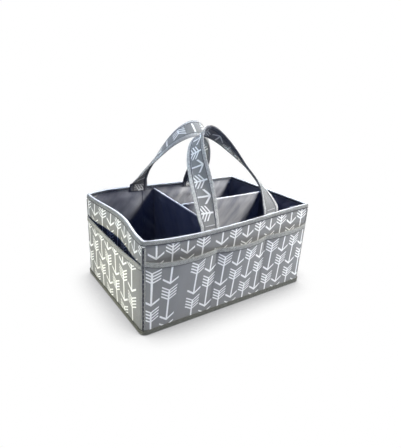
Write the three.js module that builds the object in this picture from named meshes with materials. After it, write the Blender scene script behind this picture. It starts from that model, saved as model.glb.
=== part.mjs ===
import * as THREE from 'three'

// Diaper caddy: a soft open box with pockets on every side, a fixed cross divider,
// a long divider that lifts out and two strap handles. Millimetres, +Z up, the long
// front wall faces -Y and the caddy stands on z = 0.

// Body
const bodyLength = 380
const bodyDepth = 256
const bodyHeight = 177
const outerThickness = 1
const boardThickness = 3
const liningThickness = 0.8
const baseThickness = 1
const cornerInside = 1.3
const seat = 0.3

// How far each wall bows out at its rim, where the bow peaks, how it fades to either side of the peak
// and how it grows with height
const frontBow = 15
const backBow = 14
const leftBow = -13
const rightBow = 0
const frontPeak = -75
const backPeak = -120
const leftPeak = -8
const rightPeak = 0
const frontFade = [0.8, 2]
const backFade = [0.8, 6]
const leftFade = [2.5, 2.5]
const rightFade = [1, 1]
const longBowGrowth = 1.3
const shortBowGrowth = 0.7

// How far each corner of the soft rim stands above or below the body height
const frontRightRise = 5
const backRightRise = 1.5
const backLeftRise = 3
const frontLeftRise = -2

// Bindings
const tapeThickness = 1
const rimTall = 12
const baseTall = 10
const cornerProud = 1.6
const pocketTapeThickness = 0.7
const pocketTapeTall = 12

// Pockets: how far their edges lie below the rim, where they are sewn down, how far each stands off
const pocketThickness = 1
const longPocketDrop = 41
const shortPocketDrop = 48
const frontSeamLeft = -52
const frontSeamRight = 69
const backSeamLeft = -61
const backSeamRight = 61
const frontLeftBulge = 11
const frontMiddleBulge = 9
const frontRightBulge = 8
const backBulge = 9
const leftBulge = 2
const rightBulge = 8

// Dividers
const dividerBoard = 2.4
const dividerCover = 0.6
const dividerDrop = 7
const flangeWidth = 26
const flangeThickness = 0.8
const crossPlace = -38.4
const crossSkew = 10
const longPlace = 12
const stripThickness = 1
const stripWidth = 20
const stripLength = 120
const stripDrop = 8
const tabWidth = 24
const tabThickness = 1
const hingeGap = 1
const endGap = 0.6

// Handle straps
const strapWidth = 40
const strapCore = 1.8
const strapTape = 0.7
const strapTapeWidth = 10.5
const tailThickness = 3
const tailBelowRim = 4
const tailSlope = 2.6
const tapeStart = 4
const hingeRise = 6
const frontRise = 172
const backRise = 177
const frontHalfSpan = 75
const backHalfSpan = 65
const frontHandleShift = 7.5
const backHandleShift = -7
const crestMiddle = -6
const crestGap = 3.5
const frontBelly = 7
const backBelly = -5
const frontCrestShift = -12
const backCrestShift = 10

// Levels and depths that follow from the sizes above
const boardDepth = outerThickness + seat
const liningDepth = boardDepth + boardThickness + seat
const wallThickness = liningDepth + liningThickness
const rimOuter = -seat - tapeThickness
const rimInner = wallThickness + seat + tapeThickness
const cornerRadius = rimInner + cornerInside
const wallBottom = baseThickness + seat
const floorBoardTop = wallBottom + boardThickness
const floorTop = floorBoardTop + seat + liningThickness
const wallTop = bodyHeight - tapeThickness - seat
const rimFoot = bodyHeight - rimTall
const pocketDepth = -(2 * seat + pocketTapeThickness)
const pocketFace = pocketDepth - pocketThickness
const longPocketHeight = bodyHeight - longPocketDrop
const shortPocketHeight = bodyHeight - shortPocketDrop
const dividerHeight = bodyHeight - dividerDrop
const hingeLevel = bodyHeight + hingeRise
const tailDepth = rimInner + seat

// Looks
const printGrey = { color: '#86868a', roughness: 0.85 }
const tapeGrey = { color: '#7b7d78', roughness: 0.8 }
const satinGrey = { color: '#8d8890', roughness: 0.45 }
const boardWhite = { color: '#c9c7c0', roughness: 0.9 }
const hookGrey = { color: '#5d5d62', roughness: 0.95 }

const group = new THREE.Group()
group.name = 'diaper_caddy'

// Turns a list of quads and triangles into one closed solid and adds it to the caddy
function addSolid(name, look, points, quads, triangles) {
  const volume = (list) => list.reduce((sum, [a, b, c]) => {
    const cross = new THREE.Vector3().crossVectors(points[b], points[c])
    return sum + points[a].dot(cross)
  }, 0)
  const halves = ([a, b, c, d]) => [[a, b, c], [a, c, d]]
  const outward = Math.sign(volume([...quads.flatMap(halves), ...triangles]))
  const side = new THREE.Vector3()
  const hollow = ([a, b, c, d]) => {
    const toB = points[b].clone().sub(points[a])
    const toC = points[c].clone().sub(points[a])
    const toD = points[d].clone().sub(points[a])
    return toB.dot(side.crossVectors(toC, toD)) * outward >= 0
  }
  const split = (quad) => hollow(quad) ? halves(quad) : halves([quad[1], quad[2], quad[3], quad[0]])
  const faces = [...quads.flatMap(split), ...triangles]
  const index = faces.flatMap(([a, b, c]) => outward > 0 ? [a, b, c] : [a, c, b])
  const geometry = new THREE.BufferGeometry()
  const coordinates = points.flatMap((point) => [point.x, point.y, point.z])
  geometry.setAttribute('position', new THREE.Float32BufferAttribute(coordinates, 3))
  geometry.setIndex(index)
  geometry.computeVertexNormals()
  const material = new THREE.MeshStandardMaterial({ metalness: 0, ...look })
  const mesh = new THREE.Mesh(geometry, material)
  mesh.name = name
  group.add(mesh)
}

// A sheet with two faces: face(column, row, 0) is one side and face(column, row, 1) the other
function addSheet(name, look, columns, rows, face) {
  const points = []
  const quads = []
  for (const side of [0, 1]) {
    for (const column of columns) {
      for (const row of rows) points.push(face(column, row, side))
    }
  }
  const at = (side, i, j) => (side * columns.length + i) * rows.length + j
  const lastColumn = columns.length - 1
  const lastRow = rows.length - 1
  for (let i = 0; i < lastColumn; i++) {
    for (let j = 0; j < lastRow; j++) {
      quads.push([at(0, i, j), at(0, i + 1, j), at(0, i + 1, j + 1), at(0, i, j + 1)])
      quads.push([at(1, i, j), at(1, i, j + 1), at(1, i + 1, j + 1), at(1, i + 1, j)])
    }
  }
  for (let i = 0; i < lastColumn; i++) {
    quads.push([at(0, i + 1, 0), at(0, i, 0), at(1, i, 0), at(1, i + 1, 0)])
    quads.push([at(0, i, lastRow), at(0, i + 1, lastRow), at(1, i + 1, lastRow), at(1, i, lastRow)])
  }
  for (let j = 0; j < lastRow; j++) {
    quads.push([at(0, 0, j), at(0, 0, j + 1), at(1, 0, j + 1), at(1, 0, j)])
    quads.push([at(0, lastColumn, j + 1), at(0, lastColumn, j), at(1, lastColumn, j), at(1, lastColumn, j + 1)])
  }
  addSolid(name, look, points, quads, [])
}

// A section carried along stations: place(station, point) puts one outline point in space
function addSweep(name, look, stations, outline, place, closed = false) {
  const points = stations.flatMap((station) => outline.map((point) => place(station, point)))
  const count = outline.length
  const at = (i, j) => (i % stations.length) * count + (j % count)
  const quads = []
  const spans = closed ? stations.length : stations.length - 1
  for (let i = 0; i < spans; i++) {
    for (let j = 0; j < count; j++) {
      quads.push([at(i, j), at(i + 1, j), at(i + 1, j + 1), at(i, j + 1)])
    }
  }
  const triangles = []
  if (!closed) {
    const lid = THREE.ShapeUtils.triangulateShape(outline, [])
    const turn = (a, b, c) => (b.x - a.x) * (c.y - a.y) - (b.y - a.y) * (c.x - a.x)
    const around = THREE.ShapeUtils.area(outline)
    for (const [a, b, c] of lid) {
      const same = turn(outline[a], outline[b], outline[c]) * around > 0
      const [second, third] = same ? [b, c] : [c, b]
      triangles.push([at(0, a), at(0, second), at(0, third)])
      triangles.push([at(spans, a), at(spans, third), at(spans, second)])
    }
  }
  addSolid(name, look, points, quads, triangles)
}

function spread(from, to, parts) {
  return Array.from({ length: parts + 1 }, (_, i) => THREE.MathUtils.lerp(from, to, i / parts))
}

function outlineOf(...pairs) {
  return pairs.map(([x, y]) => new THREE.Vector2(x, y))
}

// Walls: a point is given along the wall, by its depth inward from the outer face, and by height
const longHalf = bodyLength / 2 - cornerRadius
const shortHalf = bodyDepth / 2 - cornerRadius
function settled(x, y, z) {
  const { clamp, lerp } = THREE.MathUtils
  const right = (clamp(x / (longHalf - 2), -1, 1) + 1) / 2
  const back = (clamp(y / (shortHalf - 2), -1, 1) + 1) / 2
  const front = lerp(frontLeftRise, frontRightRise, right)
  const rear = lerp(backLeftRise, backRightRise, right)
  return new THREE.Vector3(x, y, z * (1 + lerp(front, rear, back) / bodyHeight))
}
const walls = {
  front: {
    half: longHalf, reach: bodyDepth / 2, parts: 12,
    bow: frontBow, peak: frontPeak, fade: frontFade, growth: longBowGrowth,
    place: (along, out, z) => settled(along, -out, z)
  },
  back: {
    half: longHalf, reach: bodyDepth / 2, parts: 12,
    bow: backBow, peak: backPeak, fade: backFade, growth: longBowGrowth,
    place: (along, out, z) => settled(along, out, z)
  },
  left: {
    half: shortHalf, reach: bodyLength / 2, parts: 12,
    bow: leftBow, peak: leftPeak, fade: leftFade, growth: shortBowGrowth,
    place: (along, out, z) => settled(-out, along, z)
  },
  right: {
    half: shortHalf, reach: bodyLength / 2, parts: 12,
    bow: rightBow, peak: rightPeak, fade: rightFade, growth: shortBowGrowth,
    place: (along, out, z) => settled(out, along, z)
  }
}

function bowAt(wall, along, z) {
  const lift = Math.max(0, z - baseTall) / (bodyHeight - baseTall)
  const before = along < wall.peak
  const run = before ? wall.half + wall.peak : wall.half - wall.peak
  const share = Math.min(1, Math.abs(along - wall.peak) / run)
  return wall.bow * (1 - share ** 2) ** wall.fade[before ? 0 : 1] * lift ** wall.growth
}

function onWall(wall, along, depth, z) {
  return wall.place(along, wall.reach - depth + bowAt(wall, along, z), z)
}

// Outer panels, boards and linings
for (const [side, wall] of Object.entries(walls)) {
  const columns = spread(-wall.half + seat, wall.half - seat, wall.parts)
  const rows = [wallBottom, ...spread(baseTall, wallTop, 4)]
  const layers = [
    [`outer_${side}_panel`, printGrey, 0, outerThickness],
    [`${side}_board`, boardWhite, boardDepth, boardThickness],
    [`lining_${side}`, satinGrey, liningDepth, liningThickness]
  ]
  for (const [name, look, depth, thickness] of layers) {
    addSheet(name, look, columns, rows, (along, z, inner) => onWall(wall, along, depth + inner * thickness, z))
  }
}

// Corners turn on the corner radius
const corners = [
  { x: longHalf, y: -shortHalf, start: -90 },
  { x: longHalf, y: shortHalf, start: 0 },
  { x: -longHalf, y: shortHalf, start: 90 },
  { x: -longHalf, y: -shortHalf, start: 180 }
]
function atCorner(corner, degrees, depth, z) {
  const angle = THREE.MathUtils.degToRad(corner.start + degrees)
  const radius = cornerRadius - depth
  return settled(corner.x + radius * Math.cos(angle), corner.y + radius * Math.sin(angle), z)
}
// Base: outer panel inside the binding, board and floor lining between the walls
function addPlate(name, look, inset, bottom, thickness) {
  const turns = corners.flatMap((corner) => [0, 45, 90].map((degrees) => atCorner(corner, degrees, inset, 0)))
  const outline = turns.map((point) => new THREE.Vector2(point.x, point.y))
  addSweep(name, look, [bottom, bottom + thickness], outline, (z, point) => new THREE.Vector3(point.x, point.y, z))
}
const boardInset = wallThickness + seat
addPlate('base_panel', printGrey, rimInner + seat, 0, baseThickness)
addPlate('base_board', boardWhite, boardInset, wallBottom, boardThickness)
addPlate('lining_floor', satinGrey, boardInset, floorBoardTop + seat, liningThickness)

// Rings run along every wall and round every corner
function ringStations() {
  const order = [[walls.front, 1], [walls.right, 1], [walls.back, -1], [walls.left, -1]]
  return order.flatMap(([wall, way], i) => {
    const along = spread(-wall.half * way, wall.half * way, wall.bow === 0 ? 1 : wall.parts)
    const straight = along.map((a) => (depth, z) => onWall(wall, a, depth, z))
    const turn = [22.5, 45, 67.5].map((degrees) => (depth, z) => atCorner(corners[i], degrees, depth, z))
    return [...straight, ...turn]
  })
}
const ringPlace = (station, point) => station(point.x, point.y)

const rimRoof = bodyHeight - tapeThickness
const rimOutline = outlineOf(
  [rimOuter, rimFoot], [-seat, rimFoot], [-seat, rimRoof], [rimInner - tapeThickness, rimRoof],
  [rimInner - tapeThickness, rimFoot], [rimInner, rimFoot], [rimInner, bodyHeight], [rimOuter, bodyHeight]
)
addSweep('rim_binding', tapeGrey, ringStations(), rimOutline, ringPlace, true)

const legFace = pocketFace - seat
const legOuter = legFace - tapeThickness
const baseOutline = outlineOf(
  [legOuter, 0], [rimInner, 0], [rimInner, baseThickness], [legFace, baseThickness],
  [legFace, baseTall], [legOuter, baseTall]
)
addSweep('base_binding', tapeGrey, ringStations(), baseOutline, ringPlace, true)

// Corner bindings: a quarter turn of tape with a raised bead below the rim
const cornerNames = ['front_right', 'back_right', 'back_left', 'front_left']
corners.forEach((corner, i) => {
  const steps = spread(0, 90, 6)
  const outline = [
    ...steps.map((degrees) => new THREE.Vector2(degrees, 0)),
    ...[90, 45, 0].map((degrees) => new THREE.Vector2(degrees, wallThickness))
  ]
  const levels = [
    [wallBottom, 1], [rimFoot - 2 * seat, 1], [rimFoot - seat, 0], [wallTop, 0]
  ]
  addSweep(`corner_binding_${cornerNames[i]}`, tapeGrey, levels, outline, ([z, bead], point) => {
    const proud = cornerProud * bead * Math.sin(THREE.MathUtils.degToRad(2 * point.x))
    return atCorner(corner, point.x, point.y > 0 ? point.y : -proud, z)
  })
})

// Pockets: a panel sewn down at its ends and seams that stands off between them, with a bound edge
function addPocket(side, height, seams, bulges, followsWall) {
  const wall = walls[side]
  const stops = [-wall.half + seat, ...seams, wall.half - seat]
  const standOff = (along, z) => {
    const i = Math.max(0, seams.findLastIndex((seam) => along >= seam) + 1)
    const share = (along - stops[i]) / (stops[i + 1] - stops[i])
    const lift = Math.max(0, z - baseTall) / (height - baseTall)
    return bulges[i] * 4 * Math.max(0, share * (1 - share)) * lift ** 1.4
  }
  const place = (along, depth, z) => {
    const wallBow = followsWall ? bowAt(wall, along, z) : 0
    return wall.place(along, wall.reach - depth + wallBow + standOff(along, z), z)
  }
  const parts = seams.length > 0 ? 8 : 12
  const columns = stops.slice(1).flatMap((stop, i) => spread(stops[i], stop, parts).slice(i > 0 ? 1 : 0))
  const rows = [wallBottom, ...spread(baseTall, height - pocketTapeThickness - seat, 4)]
  addSheet(`${side}_pocket`, printGrey, columns, rows, (along, z, inner) =>
    place(along, inner ? pocketDepth : pocketFace, z))
  const outerLeg = pocketFace - seat
  const outerFace = outerLeg - pocketTapeThickness
  const innerLeg = pocketDepth + seat
  const innerFace = innerLeg + pocketTapeThickness
  const foot = height - pocketTapeTall
  const roof = height - pocketTapeThickness
  const outline = outlineOf(
    [outerFace, foot], [outerLeg, foot], [outerLeg, roof], [innerLeg, roof],
    [innerLeg, foot], [innerFace, foot], [innerFace, height], [outerFace, height]
  )
  addSweep(`${side}_pocket_binding`, tapeGrey, columns, outline, (along, point) => place(along, point.x, point.y))
}
const frontBulges = [frontLeftBulge, frontMiddleBulge, frontRightBulge]
const backBulges = [backBulge, backBulge, backBulge]
addPocket('front', longPocketHeight, [frontSeamLeft, frontSeamRight], frontBulges, true)
addPocket('back', longPocketHeight, [backSeamLeft, backSeamRight], backBulges, true)
addPocket('left', shortPocketHeight, [], [leftBulge], false)
addPocket('right', shortPocketHeight, [], [rightBulge], true)

// Dividers: a board under one folded cover that is open at the foot
const dividerFoot = floorTop + seat
const coverHalf = dividerBoard / 2 + seat + dividerCover
const coverInside = coverHalf - dividerCover
const coverRoof = dividerHeight - dividerCover
const boardTop = coverRoof - seat
function coverOutline(levels) {
  const upward = (offset, top) => [...levels.map((z) => [offset, z]), [offset, top]]
  return outlineOf(
    ...upward(-coverInside, coverRoof), ...upward(coverInside, coverRoof).reverse(),
    ...upward(coverHalf, dividerHeight), ...upward(-coverHalf, dividerHeight).reverse()
  )
}

// Cross divider: runs a little askew from the front wall to the back wall, sewn in by a flange at each end
const crossMiddle = longPlace / bodyDepth + 0.5
const crossLevels = [dividerFoot, ...spread(baseTall, boardTop, 4)]
const crossRows = crossLevels.slice(0, -1)
function acrossBody(share, offset, z) {
  const x = crossPlace + offset + crossSkew * (share - crossMiddle)
  const near = onWall(walls.front, x, tailDepth, z)
  const far = onWall(walls.back, x, tailDepth, z)
  return near.lerp(far, share)
}
addSheet('cross_divider_board', boardWhite, [0, 1], crossLevels, (share, z, side) =>
  acrossBody(share, (side - 0.5) * dividerBoard, z))
addSweep('cross_divider_cover', satinGrey, [0, 1], coverOutline(crossRows), (share, point) =>
  acrossBody(share, point.x, point.y))
for (const side of ['front', 'back']) {
  const end = crossPlace - coverHalf + crossSkew * ((side === 'back' ? 1 : 0) - crossMiddle)
  const columns = spread(end - flangeWidth, end, 2)
  const rows = [dividerFoot, ...spread(baseTall, rimFoot - seat, 4)]
  addSheet(`cross_divider_flange_${side}`, satinGrey, columns, rows, (along, z, inner) =>
    onWall(walls[side], along, boardInset + inner * flangeThickness, z))
}

// Long divider: loop strips stay on the caddy, the tab and the panel lift away
const stripTop = dividerHeight - stripDrop
function addUpright(name, look, fromX, toX, midY, width, bottom, top, skew = 0) {
  const face = (x, y, upper) => new THREE.Vector3(x + skew * (y - midY), y, upper ? top : bottom)
  addSheet(name, look, [fromX, toX], [midY - width / 2, midY + width / 2], face)
}
const loopStart = crossPlace + coverHalf + seat
const tabStart = loopStart + stripThickness + seat
const panelStart = tabStart + tabThickness + hingeGap
const rightFace = bodyLength / 2 - wallThickness
const loopEnd = rightFace - seat
const hookEnd = loopEnd - stripThickness - endGap
const panelEnd = hookEnd - stripThickness - seat
const tabSkew = crossSkew / bodyDepth
addUpright('cross_loop_strip', hookGrey, loopStart, loopStart + stripThickness, longPlace, tabWidth,
  stripTop - stripLength, stripTop, tabSkew)
addUpright('wall_loop_strip', hookGrey, loopEnd - stripThickness, loopEnd, longPlace, stripWidth,
  stripTop - stripLength, stripTop)
addUpright('divider_hinge_tab', hookGrey, tabStart, tabStart + tabThickness, longPlace, tabWidth,
  stripTop - stripLength, stripTop, tabSkew)
addUpright('long_divider_hook', hookGrey, hookEnd - stripThickness, hookEnd, longPlace, stripWidth,
  stripTop - stripLength, stripTop)
addUpright('long_divider_board', boardWhite, panelStart + seat, panelEnd - seat, longPlace, dividerBoard,
  dividerFoot, boardTop)
addSweep('long_divider_cover', satinGrey, [panelStart, panelEnd], coverOutline([dividerFoot]), (x, point) =>
  new THREE.Vector3(x, longPlace + point.x, point.y))

// Handles: the centre line rises from both legs, leans inward to its crest and swells out by its belly
const frontHandle = {
  shift: frontHandleShift, halfSpan: frontHalfSpan, rise: frontRise, belly: frontBelly, crestShift: frontCrestShift,
  shoulders: [1.4, 1.7], twistEarly: 0.03, twistBias: 0.08, twistLate: -0.26
}
const backHandle = {
  shift: backHandleShift, halfSpan: backHalfSpan, rise: backRise, belly: backBelly, crestShift: backCrestShift,
  shoulders: [0.95, 0.95], twistEarly: 0.22, twistBias: -0.23, twistLate: 0
}
class HandleLine extends THREE.Curve {
  constructor(shape, wall, side) {
    super()
    this.shape = shape
    this.arcLengthDivisions = 400
    this.legs = [shape.shift - shape.halfSpan, shape.shift + shape.halfSpan]
    const depth = tailDepth + tailThickness / 2
    const up = new THREE.Vector3(0, 0, 1)
    const feet = this.legs.map((leg) => onWall(wall, leg, depth, bodyHeight).addScaledVector(up, hingeRise))
    this.foot = feet[0].clone().lerp(feet[1], 0.5)
    this.across = feet[1].clone().sub(feet[0])
    this.halfSpan = this.across.length() / 2
    this.across.normalize()
    const crest = crestMiddle + side * (0.4 * strapWidth + crestGap)
    const lean = Math.asin(side * (this.foot.y - crest) / shape.rise)
    const level = new THREE.Vector3(-this.across.y, this.across.x, 0).setLength(side)
    up.addScaledVector(this.across, -this.across.z).normalize()
    this.rising = up.clone().multiplyScalar(Math.cos(lean)).addScaledVector(level, -Math.sin(lean))
    this.outward = up.clone().multiplyScalar(Math.sin(lean)).addScaledVector(level, Math.cos(lean))
  }

  getPoint(t) {
    const { rise, belly, crestShift, shoulders } = this.shape
    const shoulder = THREE.MathUtils.lerp(...shoulders, THREE.MathUtils.smoothstep(t, 0, 1))
    const up = Math.max(0, Math.sin(Math.PI * t))
    const along = crestShift * up * up - this.halfSpan * Math.cos(Math.PI * t)
    return this.foot.clone()
      .addScaledVector(this.across, along)
      .addScaledVector(this.rising, rise * up ** shoulder)
      .addScaledVector(this.outward, belly * (4 * up * (1 - up)) ** 3)
  }

  // Width and thickness directions of the strap, which turns half round from leg to leg
  frameAt(share) {
    const { twistEarly, twistBias, twistLate } = this.shape
    const turn = Math.PI * share
    const late = Math.PI * THREE.MathUtils.clamp((share - 0.74) / 0.26, 0, 1)
    const ease = twistEarly * Math.sin(2 * turn) + twistBias * Math.sin(turn) + twistLate * Math.sin(late) ** 2
    const twist = turn + ease
    const upright = 1 - THREE.MathUtils.smoothstep(Math.min(share, 1 - share), 0, 0.03)
    const along = this.rising.clone().multiplyScalar(share < 0.5 ? 1 : -1)
    const tangent = this.getTangentAt(share).lerp(along, upright).normalize()
    const wide = this.across.clone().multiplyScalar(Math.cos(twist)).addScaledVector(this.outward, Math.sin(twist))
    wide.addScaledVector(tangent, -wide.dot(tangent)).normalize()
    const thick = new THREE.Vector3().crossVectors(tangent, wide)
    return { centre: this.getPointAt(share), tangent, wide, thick }
  }
}

const coreHalf = strapWidth / 2 - strapTape - seat
const tapeInner = strapWidth / 2 - strapTapeWidth
const strapParts = 48
function addHandle(side, shape, sign) {
  const wall = walls[side]
  const line = new HandleLine(shape, wall, sign)
  const half = strapCore / 2
  const rounding = [85, 60, 30]
  const stations = [
    ...rounding.map((degrees) => ({ share: 0, degrees, way: -1 })),
    ...spread(0, 1, strapParts).map((share) => ({ share, degrees: 0, way: 0 })),
    ...rounding.map((degrees) => ({ share: 1, degrees, way: 1 })).reverse()
  ]
  const coreOutline = outlineOf(
    [-coreHalf, -half], [-tapeInner, -half], [tapeInner, -half], [coreHalf, -half],
    [coreHalf, half], [tapeInner, half], [-tapeInner, half], [-coreHalf, half]
  )
  addSweep(`${side}_handle_strap`, printGrey, stations, coreOutline, ({ share, degrees, way }, point) => {
    const frame = line.frameAt(share)
    const angle = THREE.MathUtils.degToRad(degrees)
    return frame.centre
      .addScaledVector(frame.tangent, way * half * Math.sin(angle))
      .addScaledVector(frame.wide, point.x)
      .addScaledVector(frame.thick, point.y * Math.cos(angle))
  })

  // Edge tapes are folded round both edges and stop short of the hinge
  const inner = half + seat
  const outer = inner + strapTape
  const fold = coreHalf + seat
  const edge = strapWidth / 2
  const margin = tapeStart / line.getLength()
  const shares = [margin, ...spread(0, 1, strapParts).slice(1, -1), 1 - margin]
  const tapeOutline = outlineOf(
    [tapeInner, inner], [fold, inner], [fold, -inner], [tapeInner, -inner],
    [tapeInner, -outer], [edge, -outer], [edge, outer], [tapeInner, outer]
  )
  for (const [name, way] of [['inner', 1], ['outer', -1]]) {
    addSweep(`${side}_handle_tape_${name}`, tapeGrey, shares, tapeOutline, (share, point) => {
      const frame = line.frameAt(share)
      return frame.centre
        .addScaledVector(frame.wide, way * point.x)
        .addScaledVector(frame.thick, point.y)
    })
  }

  // Tails are sewn to the inside of the rim and end under the hinge line, sloped where the strap folds over
  const tailFoot = rimFoot - tailBelowRim
  const tailTop = hingeLevel - half - seat
  const tailBack = tailDepth + tailThickness
  const tailOutline = outlineOf(
    [tailDepth, tailFoot], [tailBack, tailFoot], [tailBack, rimFoot], [tailBack, bodyHeight], [tailBack, tailTop],
    [tailDepth + tailThickness / 2, tailTop], [tailDepth, tailTop - tailSlope], [tailDepth, bodyHeight],
    [tailDepth, rimFoot]
  )
  line.legs.forEach((leg, i) => {
    const columns = [leg - strapWidth / 2, leg + strapWidth / 2]
    const name = `${side}_handle_tail_${['left', 'right'][i]}`
    addSweep(name, tapeGrey, columns, tailOutline, (along, point) => {
      const above = Math.max(0, point.y - bodyHeight)
      const place = onWall(wall, along, point.x, point.y - above)
      return place.setZ(place.z + above)
    })
  })
}
addHandle('front', frontHandle, -1)
addHandle('back', backHandle, 1)

export default group
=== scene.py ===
import math
import bmesh
import bpy
import numpy as np
from mathutils import Matrix, Vector, noise


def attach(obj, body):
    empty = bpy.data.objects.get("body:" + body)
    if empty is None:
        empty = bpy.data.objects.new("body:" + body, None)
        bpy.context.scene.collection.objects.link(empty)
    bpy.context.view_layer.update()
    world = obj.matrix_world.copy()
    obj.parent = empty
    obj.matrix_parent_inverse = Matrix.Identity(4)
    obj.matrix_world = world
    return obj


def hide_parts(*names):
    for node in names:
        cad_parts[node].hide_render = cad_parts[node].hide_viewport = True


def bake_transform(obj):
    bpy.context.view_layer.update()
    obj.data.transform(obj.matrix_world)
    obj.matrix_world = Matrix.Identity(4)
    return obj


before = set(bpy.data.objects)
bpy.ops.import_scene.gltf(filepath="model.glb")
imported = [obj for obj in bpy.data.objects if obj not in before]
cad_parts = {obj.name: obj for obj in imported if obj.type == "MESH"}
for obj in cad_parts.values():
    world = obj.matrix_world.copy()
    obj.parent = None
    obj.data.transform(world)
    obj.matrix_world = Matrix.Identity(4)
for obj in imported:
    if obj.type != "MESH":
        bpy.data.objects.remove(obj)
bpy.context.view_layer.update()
scene = bpy.context.scene
print("frame loaded,", len(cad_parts), "nodes")


def addObject(name, data):
    thing = bpy.data.objects.new(name, data)
    scene.collection.objects.link(thing)
    return thing


# Camera at the photograph's angle
photoCamera = {
    "place": (-0.43123, -0.61509, 0.42705),
    "right": (0.82498, -0.56249, 0.05491),
    "up": (0.16830, 0.33727, 0.92624),
    "back": (-0.53952, -0.75488, 0.37291),
    "lens": 30.92, "sensor": 36,
}
cameraData = bpy.data.cameras.new("photoCamera")
cameraData.lens = photoCamera["lens"]
cameraData.sensor_width = photoCamera["sensor"]
camera = addObject("photoCamera", cameraData)
stand = Matrix.Identity(4)
for column, key in enumerate(("right", "up", "back", "place")):
    for row in range(3):
        stand[row][column] = photoCamera[key][row]
camera.matrix_world = stand
scene.camera = camera
print("camera set")


# A socket that takes part in sums
class Wire:
    def __init__(self, tree, socket=None):
        self.tree = tree
        self.socket = socket

    def node(self, kind, settings=None, sockets=None, output=0):
        made = self.tree.nodes.new(kind)
        for key, value in (settings or {}).items():
            setattr(made, key, value)
        for key, value in (sockets or {}).items():
            if isinstance(value, Wire):
                self.tree.links.new(value.socket, made.inputs[key])
            else:
                made.inputs[key].default_value = value
        return Wire(self.tree, made.outputs[output])

    # Another output of the same node
    def beside(self, output): return Wire(self.tree, self.socket.node.outputs[output])

    def math(self, operation, first, second=0.0, clamp=False):
        return self.node("ShaderNodeMath", {"operation": operation, "use_clamp": clamp}, {0: first, 1: second})

    def __add__(self, other): return self.math("ADD", self, other)
    def __radd__(self, other): return self.math("ADD", other, self)
    def __sub__(self, other): return self.math("SUBTRACT", self, other)
    def __rsub__(self, other): return self.math("SUBTRACT", other, self)
    def __mul__(self, other): return self.math("MULTIPLY", self, other)
    def __rmul__(self, other): return self.math("MULTIPLY", other, self)
    def __truediv__(self, other): return self.math("DIVIDE", self, other)
    def __rtruediv__(self, other): return self.math("DIVIDE", other, self)
    def __mod__(self, other): return self.math("FLOORED_MODULO", self, other)
    def __rmod__(self, other): return self.math("FLOORED_MODULO", other, self)
    def __abs__(self): return self.math("ABSOLUTE", self)
    def floor(self): return self.math("FLOOR", self)
    def sine(self): return self.math("SINE", self)
    def clamped(self): return self.math("ADD", self, 0.0, clamp=True)
    def atLeast(self, other): return self.math("MAXIMUM", self, other)

    # 1 where the value is under the limit, with a soft edge
    def under(self, limit, soft): return ((limit - self) / soft + 0.5).clamped()

    # Colours at 0 and 1 of this value
    def tint(self, low, high):
        low, high = (colour if isinstance(colour, Wire) else (*colour, 1) for colour in (low, high))
        return self.node("ShaderNodeMix", {"data_type": "RGBA"}, {0: self, 6: low, 7: high}, 2)

    def speckle(self, scale, detail=2.0):
        return self.node("ShaderNodeTexNoise", None, {"Vector": self, "Scale": scale, "Detail": detail})

    # A vector stretched along its axes
    def stretched(self, *sizes):
        return self.node("ShaderNodeVectorMath", {"operation": "MULTIPLY"}, {0: self, 1: sizes})

    # The cloth's own map, in metres
    def clothMap(self): return self.node("ShaderNodeUVMap", {"uv_map": "cloth"})

    # The first two directions of a vector
    def split(self):
        apart = self.node("ShaderNodeSeparateXYZ", None, {0: self})
        return apart, apart.beside(1)


# A material and its shader, with what is the same all over the surface
def plainMaterial(name, fixed):
    material = bpy.data.materials.new(name)
    material.use_nodes = True
    shader = material.node_tree.nodes["Principled BSDF"]
    for key, value in fixed.items():
        shader.inputs[key].default_value = value
    return material, shader


# The same with its place on the object
def newMaterial(name, fixed):
    material, shader = plainMaterial(name, fixed)
    return material, shader, Wire(material.node_tree).node("ShaderNodeTexCoord", output="Object")


def finishMaterial(shader, colour, roughness, height, depth):
    tree = colour.tree
    tree.links.new(colour.socket, shader.inputs["Base Color"])
    tree.links.new(roughness.socket, shader.inputs["Roughness"])
    bump = height.node("ShaderNodeBump", None, {"Strength": 1.0, "Distance": depth, "Height": height})
    tree.links.new(bump.socket, shader.inputs["Normal"])


# Rows that follow one direction of the cloth, from 0 to 1
def ribs(along, pitch):
    return (along * (2 * math.pi / pitch)).sine() * 0.5 + 0.5


# Plain weave: threads cross over and under at one pitch
def weave(u, v, pitch):
    turn = 2 * math.pi / pitch
    return (u * turn).sine() * (v * turn).sine() * 0.5 + 0.5


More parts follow.
